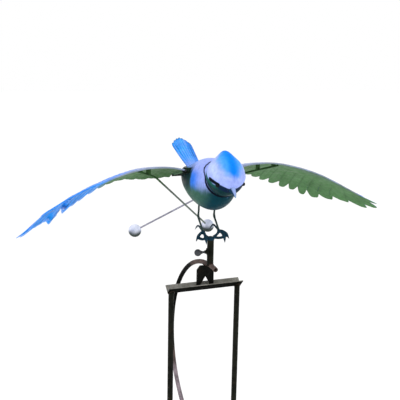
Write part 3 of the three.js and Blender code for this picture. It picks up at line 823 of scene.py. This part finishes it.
HEAD_CENTRE = Vector((0, -88, 256))
HEAD_RADIUS = 40.0
HEAD_NARROW = 0.95                  # the head is a little narrower than it is long
BOW = math.radians(35)
BEAKWARD = Vector((0, -math.cos(BOW), -math.sin(BOW)))
CROWNWARD = Vector((0, -math.sin(BOW), math.cos(BOW)))
CREST = {"height": 10.0, "angle": math.radians(139), "length": 34.0, "width": 0.42}
BROW = 1.1
FACE_OPEN = math.radians(6)         # the shell starts this far round from the beak's axis
NAPE = math.radians(132)
COLLAR_STEPS = 60


def head_reach(ahead, rise, side):
    """The head's radius in a direction, crest and all."""
    near = ahead * math.cos(CREST["angle"]) + rise * math.sin(CREST["angle"])
    lift = math.degrees(math.acos(min(1.0, max(-1.0, near)))) / CREST["length"]
    return HEAD_RADIUS + CREST["height"] * math.exp(-lift ** 2 - (side / CREST["width"]) ** 2)


def head_direction(polar, turn):
    """Shares ahead, up and sideways; polar is off the beak's axis and turn goes from crown to throat."""
    return math.cos(polar), math.sin(polar) * math.cos(turn), math.sin(polar) * math.sin(turn)


def head_point(polar, turn, sign):
    ahead, rise, side = head_direction(polar, turn)
    brow = BROW * peak(rise - 0.28, 0.09) * step(abs(side), 0.35, 0.75) * step(ahead, 0.1, 0.5)
    radius = head_reach(ahead, rise, side) + brow
    across = X_AXIS * (sign * (HEAD_NARROW * radius * side + SEAM))
    return HEAD_CENTRE + BEAKWARD * radius * ahead + CROWNWARD * radius * rise + across


def collar_angle(share):
    """The polar angle at which the head sinks into the body, a share of the way from crown to throat."""
    polar = math.radians(40)
    while polar < math.radians(150) and body_depth(head_point(polar, math.pi * share, 1)) > 1:
        polar += math.radians(0.5)
    return polar


COLLAR = sampled(collar_angle, COLLAR_STEPS)
COLLAR_TURNS = np.linspace(0, math.pi, COLLAR_STEPS + 1)
EYE_LINE = [Vector((0.22, 0.07, 0.97)), Vector((0.48, 0.12, 0.86)), Vector((0.69, 0.13, 0.71))]
LORE_LINE = [Vector((0.80, 0.03, 0.60)), Vector((0.90, 0.00, 0.43)), Vector((0.975, -0.06, 0.2))]


def line_distance(spot, line):
    """How far a direction on the head lies from a line of directions."""
    best = 9.0
    for a, b in zip(line, line[1:]):
        run = b - a
        t = min(1.0, max(0.0, (spot - a).dot(run) / run.length_squared))
        best = min(best, (spot - a - run * t).length)
    return best


def head_tint(polar, turn, point):
    ahead, rise, side = spot = head_direction(polar, turn)
    drift = strokes(point, (0.09, 0.09, 0.09), 3)
    crown = step(rise + 0.1 * drift - 0.3 * side, 0.44, 0.8)
    mask_edge = 0.03 * ahead + 0.04 * drift
    collar = float(np.interp(turn, COLLAR_TURNS, COLLAR))
    wide = 1.9 + 4.2 * step(turn, 1.6, 2.7)
    gap = (collar - polar) * HEAD_RADIUS
    return coats(
        "9FB0F4",
        # painted highlight: pale lavender on the upper cheeks
        ("BACBFF", 0.8 * step(rise, 0.15, 0.5) * step(side, 0.6, 0.9)),
        (mix("4EA0F8", "0880FA", peak(side - 0.05, 0.26)), crown),
        # teal lower face, darker below the eye line and towards the beak; the darkening under the head is
        # painted shade
        (mix("0F564E", "002E32", step(-rise, 0.0, 0.35) + 0.6 * step(ahead, 0.5, 0.85)),
         1 - step(rise, mask_edge - 0.05, mask_edge + 0.05)),
        ("06203C", 1 - step(line_distance(Vector(spot), LORE_LINE), 0.11, 0.17)),
        (INK, 1 - step(line_distance(Vector(spot), EYE_LINE), 0.085, 0.11)),
        (INK, 1 - step(gap, wide, wide + 0.9)),
    )


def add_body_and_head(side, sign):
    panel = grid(lambda u, v: body_point(u, v, sign), 150, 84, body_tint, flip=sign < 0)
    add_piece(f"body_panel_{side}", "bird", "body_paint", panel,
              replaced=f"body_shell_{side}", thickness=SHEET)

    def place(u, v):
        return head_point(FACE_OPEN + (NAPE - FACE_OPEN) * u, math.pi * v, sign)

    def tint(u, v, point):
        return head_tint(FACE_OPEN + (NAPE - FACE_OPEN) * u, math.pi * v, point)

    add_piece(f"head_panel_{side}", "bird", "body_paint",
              grid(place, 130, 110, tint, flip=sign < 0), replaced=f"head_shell_{side}", thickness=SHEET)


def add_eye(side):
    centre = node_middle(f"eye_{side}")
    outward = (centre - HEAD_CENTRE).normalized()
    across = Z_AXIS.cross(outward).normalized()
    size = node_half(f"eye_{side}", 2)
    bead = lathe(globe_profile(size, 0.01, 0.99, 24), centre, outward, 36)
    wide = size + 0.1
    rim = loop(centre - outward * 0.2, across * wide, outward.cross(across) * wide, 40)
    add_piece(f"eye_bead_{side}", "bird", "eye_gloss", merged(bead, rod(rim, 0.5, 8)),
              replaced=f"eye_{side}")


BEAK_BASE, BEAK_TIP = 34.5, 60.0    # along the beak's axis from the head's centre
BEAK_SIZE = 9.2                     # radius at its base
BEAK_RINGS = 22
# Length, height and hook of each half of the beak.
BEAK_HALVES = {"upper": (1.0, 0.86, 1.6), "lower": (0.88, 0.62, 0.0)}


def beak_half(upward, length, height, hook):
    """A half-cone: upward is 1 for the upper half and -1 for the lower."""
    row = BEAK_RINGS + 1
    vertices, tints = [], []
    for i in range(row):
        s = i / BEAK_RINGS
        size = BEAK_SIZE * (1 - s ** 1.35) ** 0.9 + 0.45
        centre = HEAD_CENTRE + BEAKWARD * (BEAK_BASE + (BEAK_TIP - BEAK_BASE) * s * length)
        centre += CROWNWARD * (upward * 0.12 - hook * s ** 3)
        for k in range(row):
            angle = math.pi * k / BEAK_RINGS
            across = size * math.cos(angle) * (0.86 - 0.12 * math.sin(angle))
            rise = upward * size * height * math.sin(angle)
            vertices.append(centre + X_AXIS * across + CROWNWARD * rise)
            ridge = step(math.sin(angle), 0.55, 0.9) if upward > 0 else 0.0
            tints.append(coats("12344E", ("93A8DC", ridge), ("86A2BC", 0.7 * step(s, 0.72, 0.95))))
    faces = skin(row, row)
    return vertices, faces if upward > 0 else [face[::-1] for face in faces], tints


def add_beak():
    for (name, sizes), upward in zip(BEAK_HALVES.items(), (1, -1)):
        add_piece(f"beak_{name}_horn", "bird", "body_paint", beak_half(upward, *sizes),
                  replaced=f"beak_{name}", sharp=45)


for half, way in SIDES.items():
    add_body_and_head(half, way)
    add_eye(half)
add_beak()


# ---- bird: tail

TAIL_ROOT = Vector((0, 62, 248))
TAIL_TIP = Vector((0, 164, 299))
TAIL_FEATHERS = 7
TAIL_SHEET = 0.7


def tail_feather(index):
    """One long feather of the fan; the middle one lies on top."""
    middle = (TAIL_FEATHERS - 1) / 2
    off = index - middle
    run = TAIL_TIP - TAIL_ROOT
    normal = Vector((0, -run.z, run.y)).normalized()
    reach = 1.0 - 0.012 * off * off
    stack = 1.1 * (middle - abs(off))

    def place(u, v):
        across = 2 * v - 1
        centre = off * (2.6 + 3.3 * math.sqrt(u))
        point = max(0.0, (u - 0.84) / 0.16)
        half = (4.4 + 1.4 * u) * math.sqrt(max(0.0, 1 - point ** 2.2)) + 0.12
        shaft = 0.45 * peak(across, 0.16)
        arch = -0.9 * across * across - 0.16 * off * off * u
        rise = stack * (0.35 + 0.65 * u) + arch + shaft + 3.0 * u * u
        return TAIL_ROOT + run * (u * reach) + normal * rise + Vector((centre + across * half, 0, 0))

    def tint(u, v, point):
        across = 2 * v - 1
        streak = strokes((v * 40 + 9 * index, u * 3, 0), (1, 1, 1), index)
        return coats(
            "2494F8",
            ("1076C0", step(streak, 0.0, 0.5)),
            ("8FA6F2", 0.75 * step(-streak, 0.08, 0.45)),
            ("6FAAFC", 0.8 * peak(across, 0.13)),
            ("8FA4F0", 0.6 * (1 - step(u, 0.1, 0.45))),
            ("0E4CAC", 0.8 * step(abs(across), 0.76, 0.98)),
            ("1458C0", 0.4 * step(off, 0.5, 2.5)),
            ("0E5A76", 0.75 * step(u, 0.93, 1.0)),
        )

    return grid(place, 70, 18, tint, flip=True)


for feather in range(TAIL_FEATHERS):
    add_piece(f"tail_feather_{feather + 1}", "bird", "feather_paint", tail_feather(feather),
              replaced="tail_fan", thickness=TAIL_SHEET)


# ---- bird: legs and feet

LEG_X = 18.0
ANKLE = (LEG_X, -26, 130)
LEG_PATH = [(LEG_X, -2, 192), (LEG_X, -1, 172), (LEG_X, 0, 157), (LEG_X, -13, 143), ANKLE]
LEG = 2.0
KNEE = 0.55                         # how much thicker the leg is at its knee
PALM = 4.4
TOES = {
    "front": [ANKLE, (19.5, -36, 129), (20.8, -46, 122), (20.5, -50.5, 110)],
    "outer": [ANKLE, (24.5, -30, 129.5), (31.5, -33, 124), (37.5, -35, 113.5)],
    "rear": [ANKLE, (17.5, -12, 135), (17.3, 4, 137), (17, 21, 124)],
    "perch": [(6.4, -24.3, 117.2), (14, -26, 115.8), (22, -29.5, 116.4), (31.5, -33.2, 121)],
    "inner": [ANKLE, (13.5, -26, 123.5), (6.6, -24.4, 117.6)],
}
HUB_LOW, HUB_HIGH = 42.2, 43.0      # the hub's flange starts between these heights of the spigot
HUB_TOP = 46.2


def mirrored(points, sign, count):
    return sampled(spline([(sign * x, y, z) for x, y, z in points]), count)


def toe_size(name):
    """A toe's radius along it; all but two of them end in a claw."""
    if name in ("perch", "inner"):
        return lambda t: 3.3 - 0.6 * math.sin(math.pi * t)
    if name == "rear":
        return lambda t: (2.1 - 0.6 * t) * (1 - step(t, 0.72, 1.02)) + 0.12
    return lambda t: (3.2 - 0.8 * t + 0.5 * peak(t - 0.62, 0.09)) * (1 - step(t, 0.72, 1.02)) + 0.12


def add_hub():
    low, high = node_ends("swivel_spigot")
    shaft = POST_BORE - 0.1
    flange = node_half("swivel_spigot", 0)
    profile = [(CORE, 0), (shaft - 0.2, 0), (shaft, 0.6), (shaft, HUB_LOW), (flange - 0.4, HUB_LOW + 0.1),
               (flange, HUB_HIGH), (flange, HUB_TOP), (flange - 1, HUB_TOP + 2), (3.5, HUB_TOP + 3.4),
               (CORE, high.z - low.z + 0.9)]
    hub = lathe(profile, (0, node_middle("swivel_spigot").y, low.z), Z_AXIS, 36)
    add_piece("swivel_hub", "bird", "leg_paint", speckled(hub, "0F2E3E"),
              replaced="swivel_spigot", sharp=40)


def add_legs():
    for side, sign in SIDES.items():
        leg = rod(mirrored(LEG_PATH, sign, 48), lambda t: LEG + KNEE * peak(t - 0.5, 0.08), 20, ripple=0.1)
        add_piece(f"leg_wire_{side}", "bird", "leg_paint", speckled(leg, "33423F"),
                  replaced=f"leg_{side}")
        toes = [rod(mirrored(points, sign, 30), toe_size(name), 14, ripple=RIPPLE)
                for name, points in TOES.items()]
        x, y, z = ANKLE
        palm = lathe(globe_profile(PALM, 0.02, 0.98, 16), (sign * x, y, z - 0.4), Z_AXIS, 20)
        add_piece(f"clawed_foot_{side}", "bird", "leg_paint",
                  speckled(merged(palm, *toes), "12303F", 0.25), replaced=f"foot_{side}")


add_hub()
add_legs()


# ---- hinges

HINGE_TILT = math.radians(14)
HINGE_AXIS = Vector((0, math.cos(HINGE_TILT), -math.sin(HINGE_TILT)))
KNUCKLE_HALF = 31.5
RIVET_HALF = KNUCKLE_HALF + 3.1     # from the middle to under a rivet's heads
RIVET_END = [(2.7, 0), (2.6, 0.7), (1.9, 1.3), (CORE, 1.4)]
PIN = 1.5
BARREL = 3.2
BARREL_BORE = 1.62
BARREL_DARK = 8.0                   # the hinge barrel is black this far back, and sage behind


def hinge_middle(side):
    return local(JOINTS[f"{side}_wing_flap"]["pos_m"])


def add_hinges():
    for side in SIDES:
        carry(f"hinge_bracket_{side}", "bracket_black")
        centre = hinge_middle(side)
        front = [(radius, -RIVET_HALF - out) for radius, out in reversed(RIVET_END)]
        back = [(radius, RIVET_HALF + out) for radius, out in RIVET_END]
        shank = [(PIN, 0.05 - RIVET_HALF), (PIN, RIVET_HALF - 0.05)]
        add_piece(f"hinge_rivet_{side}", "bird", "knob_iron",
                  lathe(front + shank + back, centre, HINGE_AXIS, 28), replaced=f"hinge_pin_{side}", sharp=40)
        path = [centre + HINGE_AXIS * KNUCKLE_HALF * t for t in np.linspace(-1, 1, 24)]
        barrel = rod(path, BARREL, 28, bore=BARREL_BORE)
        dark = min(v.y for v in barrel[0]) + BARREL_DARK
        barrel = tinted(barrel, lambda v: mix("0C141C", "456A48", step(v.y, dark, dark + 7)))
        add_piece(f"hinge_barrel_{side}", f"{side}_wing", "leg_paint", barrel,
                  replaced=f"wing_knuckle_{side}", sharp=50)


add_hinges()


# ---- wings

# x, leading edge, trailing edge, height and nose-up pitch of the wing's surface.
WING = np.array([
    (56.5, -20, 66, 260, 14), (100, -25, 110, 267.5, 15.5), (160, -31, 132, 265, 17),
    (240, -40, 118, 243, 19.5), (320, -48, 66, 205, 22), (398, -56, -26, 162, 25),
], float)
WING_TABLE = np.array(sampled(spline(WING), 300))
CAMBER = 0.05
# Where the flight feathers' tips lie, from the root out to the wing's end and round to its leading edge.
TIPS = spline([
    (59, 64), (84, 97), (108, 113), (132, 121), (155, 125), (176, 127), (197, 127), (220, 121), (245, 112),
    (264, 99), (287, 89), (309, 68), (329, 41), (349, 12), (383, -17), (398, -44), (384, -64),
])
FLIGHT_FEATHERS = 16
# Places along the span, and the degrees that the feathers turn outboard there.
FEATHER_TURN = ((0, 0.3, 0.45, 0.6, 0.66, 0.72, 0.8, 0.9, 1), (0, 8, 16, 34, 52, 75, 95, 105, 125))
ROOT_X = 59.5
END_X = 346.0                       # the leading edge steps back here
# x, how far the right wing's feather tips are bent down there and how far its leading edge is bent up.
RIGHT_BEND = np.array([
    (200, 0, 0), (230, 4, 0), (255, 7, 2), (272, 9, 3), (284, 10, 4), (288, -5, 4), (292, -5, 4),
    (298, 7, 5), (310, 11, 5), (316, 17, 5), (321, 17, 5), (326, 7, 5), (340, 8, 5), (360, 7, 4),
    (380, 8, 0), (398, 6, -5),
], float)
ROOT_DROP = 8.0                     # how far both wings' trailing edges are bent down at the root
FEATHER_RIDGE = 0.55
FEATHER_OVERLAP = 0.8
WING_SHEET = 0.6
COVERT_SHEET = 0.45
# Name, share of the chord, number of scales, lift and offset of each row of coverts.
COVERTS = (("greater", 0.52, 22, 0.4, 0.0), ("lesser", 0.3, 26, 0.9, 0.5))
EDGE_ROLL = 1.7
LEAF_SHEET = 1.0
LEAF_WIDTH = 9.0


def wing_height(x, y):
    front, back, z, pitch = look_up(WING_TABLE, abs(x), 1, 2, 3, 4)
    chord = back - front
    v = (y - front) / chord
    return z - chord * v * math.tan(math.radians(pitch)) + CAMBER * chord * 4 * v * (1 - v)


def leading_edge(u):
    x = ROOT_X + (END_X - ROOT_X) * u ** 1.05
    return np.array((x, look_up(WING_TABLE, x, 1)[0] + 1.0))


def feather_phase(u):
    """How far across its feather a place along the span is, from 0 to 1, and which feather it is."""
    place = u * FLIGHT_FEATHERS + 0.5
    return place % 1, int(place)


def trailing_edge(u):
    """The scalloped edge: inner feathers round off outboard and outer ones inboard."""
    phase, _ = feather_phase(u)
    swing = math.radians(np.interp(u, *FEATHER_TURN))
    depth = 6 + 15 * step(u, 0.25, 0.45) + 14 * step(u, 0.84, 0.97)
    outer = step(u, 0.66, 0.76)
    off = 2 * phase - 1
    blunt = 7 - 5.4 * outer if off < 0 else 1.25 + 3.0 * outer
    lean = np.array((math.sin(swing), math.cos(swing)))
    return TIPS(u) - lean * depth * abs(off) ** blunt


def bend(x, v, sign):
    """How far a wing is bent down from its smooth shape: both at the root, and the right one near its end."""
    drop = ROOT_DROP * (1 - step(x, 95, 165)) * v * v
    if sign > 0:
        return drop
    tips, edge = look_up(RIGHT_BEND, x, 1, 2)
    return drop + tips * v * v - edge * (1 - v)


def wing_point(u, v, sign, lift=0.0, relief=1.0):
    x, y = leading_edge(u) * (1 - v) + trailing_edge(u) * v
    phase, _ = feather_phase(u)
    ridge = FEATHER_RIDGE * peak(phase - 0.5, 0.07) * step(v, 0.25, 0.45)
    overlap = FEATHER_OVERLAP * (phase - 0.5) * step(v, 0.3, 0.6)
    height = wing_height(x, y) - bend(x, v, sign)
    return Vector((sign * x, y, height + lift + relief * (ridge + overlap)))


def flight_tint(u, v, point):
    phase, index = feather_phase(u)
    streak = strokes((phase * 16 + 5 * index, v * 2.5, 0), (1, 1, 1), index)
    return coats(
        "128EF0",
        ("0472CC", step(streak, 0.0, 0.45)),
        ("629CF2", 0.65 * step(-streak, 0.05, 0.4)),
        ("93A7EE", 0.6 * (1 - step(v, 0.4, 0.75)) * (1 - step(u, 0.3, 0.6))),
        ("0C3C8A", 0.8 * step(abs(phase - 0.5), 0.42, 0.5) * step(v, 0.3, 0.6)),
        ("A4C0FF", 0.7 * peak(phase - 0.5, 0.05)),
        ("C8DCFF", 0.3 * step(v, 0.95, 1.0)),
    )


def under_tint(u, v, point, sign):
    """Sage green below; on the right wing the blue of the top runs on under the outer feathers."""
    phase, _ = feather_phase(u)
    return coats(
        "467042",
        ("527C4E", 0.5 + 0.5 * strokes(point, (0.035, 0.02, 0.02), 11)),
        ("35582E", 0.7 * (1 - step(abs(point.x), 70, 180))),
        ("48625A", 0.6 * (1 - step(v, 0.05, 0.3))),
        ("3A5F38", 0.5 * peak(abs(phase - 0.5) - 0.5, 0.06) * step(v, 0.3, 0.6)),
        (flight_tint(u, v, point), step(u, 0.33, 0.45) if sign < 0 else 0.0),
    )


def rim_faces(along, across, count, flip):
    """The wall that closes a sheet between its top and bottom grids."""
    row = across + 1
    edge = [i * row for i in range(along + 1)]
    edge += [along * row + j for j in range(1, row)]
    edge += [i * row + across for i in range(along - 1, -1, -1)]
    edge += list(range(across - 1, 0, -1))
    faces = [(a, b, count + b, count + a) for a, b in zip(edge, edge[1:] + edge[:1])]
    return [face[::-1] for face in faces] if flip else faces


def add_flight_sheet(side, sign):
    along, across = 16 * FLIGHT_FEATHERS, 46
    vertices, faces, tints = grid(lambda u, v: wing_point(u, v, sign, 0.3), along, across, flight_tint,
                                  flip=sign > 0)
    count = len(vertices)
    under = [under_tint(k // (across + 1) / along, k % (across + 1) / across, vertices[k], sign)
             for k in range(count)]
    below = [v - Z_AXIS * WING_SHEET for v in vertices]
    walls = [tuple(count + k for k in face[::-1]) for face in faces]
    walls += rim_faces(along, across, count, sign > 0)
    add_piece(f"flight_feathers_{side}", f"{side}_wing", "feather_paint feather_under",
              (vertices + below, faces + walls, tints + under), replaced=f"wing_sheet_{side}", sharp=60,
              face_material=[0] * len(faces) + [1] * len(walls))


def covert_row(sign, reach, scales, lift, shift):
    """A row of short scale-like feathers from the leading edge back to a share of the chord."""
    def place(u, v):
        phase = (u * scales + shift) % 1
        lobe = math.sin(math.pi * phase) ** 0.5 if 0 < phase < 1 else 0.0
        end = reach * (1 - 0.24 * (1 - lobe)) * (1 - 0.25 * u)
        bulge = 0.5 * math.sin(math.pi * phase) * step(v, 0.3, 0.9)
        return wing_point(u, v * end, sign, lift * step(v, 0.0, 0.25) + 0.4 + bulge, 0.0)

    def tint(u, v, point):
        phase = (u * scales + shift) % 1
        streak = strokes((phase * 9, v * 2, u * scales), (1, 1, 1), 17)
        inner = 1 - step(u, 0.28, 0.52)
        return coats(
            "2F88F4",
            ("7C9AEE", step(streak, -0.2, 0.4)),
            ("A6AEC8", 0.85 * inner),
            ("98A6DC", 0.5 * (1 - step(v, 0.05, 0.3))),
            (mix("1458BE", "6E7C9C", inner), 0.65 * step(v, 0.86, 0.99)),
        )

    return grid(place, 10 * scales, 20, tint, flip=sign > 0)


def add_coverts(side, sign):
    for name, *row in COVERTS:
        add_piece(f"{name}_coverts_{side}", f"{side}_wing", "feather_paint",
                  covert_row(sign, *row), thickness=COVERT_SHEET)


def add_edge_roll(side, sign):
    """The sheet's leading edge, rolled into a bead."""
    def at(u):
        x, y = leading_edge(u)
        return sign * x, y - 0.6, wing_height(x, y) - bend(x, 0, sign) - 0.1

    def tint(v):
        return coats("7C8894", ("94A2C0", 0.5 + noise.noise(v * 0.05)), ("2C88EE", step(-v.x, 190, 250)))

    roll = rod(sampled(at, 120), lambda t: EDGE_ROLL - 0.7 * t, 14, ripple=0.25, seed=sign)
    add_piece(f"leading_edge_roll_{side}", f"{side}_wing", "feather_paint", tinted(roll, tint))


def add_hinge_leaf(side, sign):
    """The strip that joins the wing sheet to the hinge barrel."""
    centre = hinge_middle(side)

    def place(u, v):
        along = centre + HINGE_AXIS * (KNUCKLE_HALF - 0.4) * (2 * v - 1)
        x = centre.x + sign * (2.2 + LEAF_WIDTH * u)
        rise = wing_height(ROOT_X, along.y) - along.z + 1.2
        return Vector((x, along.y, along.z + rise * step(u, 0.0, 0.75) + 1.6 * (1 - u)))

    add_piece(f"hinge_leaf_{side}", f"{side}_wing", "feather_under",
              speckled(grid(place, 16, 24, flip=sign > 0), "3C5A38"), thickness=LEAF_SHEET)


# ---- balance rods

BALANCE_ROD = 2.0
ROD_FILLET = 14.0
BALL_EXTRA = 1.6                    # the balls are this much larger in radius than the CAD's
# Each rod's start under the wing, its bend and its paint.
RODS = {
    "left": {"start": (156, -18), "bend": (115, 52, 236.3), "paint": "9391A0"},
    "right": {"start": (-156, -18), "bend": (-113.6, 4, 245.7), "paint": "66706A"},
}


def rod_path(points):
    """Straight runs with a rounded bend at the middle point."""
    start, corner, end = (Vector(p) for p in points)
    enter = corner + (start - corner).normalized() * ROD_FILLET
    leave = corner + (end - corner).normalized() * ROD_FILLET
    path = [start.lerp(enter, i / 20) for i in range(20)]
    path += sampled(lambda t: enter.lerp(corner, t).lerp(corner.lerp(leave, t), t), 14)
    return path + [leave.lerp(end, i / 50) for i in range(1, 51)]


def add_balance(side, sign):
    plan = RODS[side]
    x, y = plan["start"]
    centre = node_middle(f"balance_ball_{side}")
    size = BALL_EXTRA + node_half(f"balance_ball_{side}", 1)

    def rod_tint_with_painted_shadow(v):
        # the rod's own paint, with painted shadow: dark green along the upper stretch that runs under the
        # wing
        return mix(plan["paint"], "31502C", step(v.z, 205, 236)) * (1 + 0.3 * noise.noise(v * 0.2))

    def ball_tint_with_painted_shade(v):
        """White enamel with a drifting grey, and painted shade that turns it dark green towards the
        underside.
        """
        drift = noise.noise(v * 0.09)
        # painted shade: how far a point lies towards the ball's underside
        low = step((centre.z - v.z) / size + 0.2 * drift, -0.5, 0.5)
        return coats("E4E8F8", ("C4CBE4", 0.5 + drift), ("26332A", 0.97 * low))

    bar = rod(rod_path([(x, y, wing_height(x, y) - 3.4), plan["bend"], centre]), BALANCE_ROD, 18, ripple=0.08)
    add_piece(f"bent_rod_{side}", f"{side}_wing", "leg_paint", tinted(bar, rod_tint_with_painted_shadow),
              replaced=f"balance_rod_{side}")
    toward = Vector(plan["bend"]) - centre
    neck = [(2.9, size + 0.3), (2.5, size + 2.0), (CORE, size + 2.1)]
    ball = lathe(globe_profile(size, 0.004, 0.93, 40) + neck, centre, toward, 56)
    add_piece(f"balance_globe_{side}", f"{side}_wing", "ball_paint", tinted(ball, ball_tint_with_painted_shade),
              replaced=f"balance_ball_{side}", sharp=60)
    for i in (1, 2):
        carry(f"rod_tab_{i}_{side}", "tab_sage", 0.3)


for wing in SIDES.items():
    for add in (add_flight_sheet, add_coverts, add_edge_roll, add_hinge_leaf, add_balance):
        add(*wing)
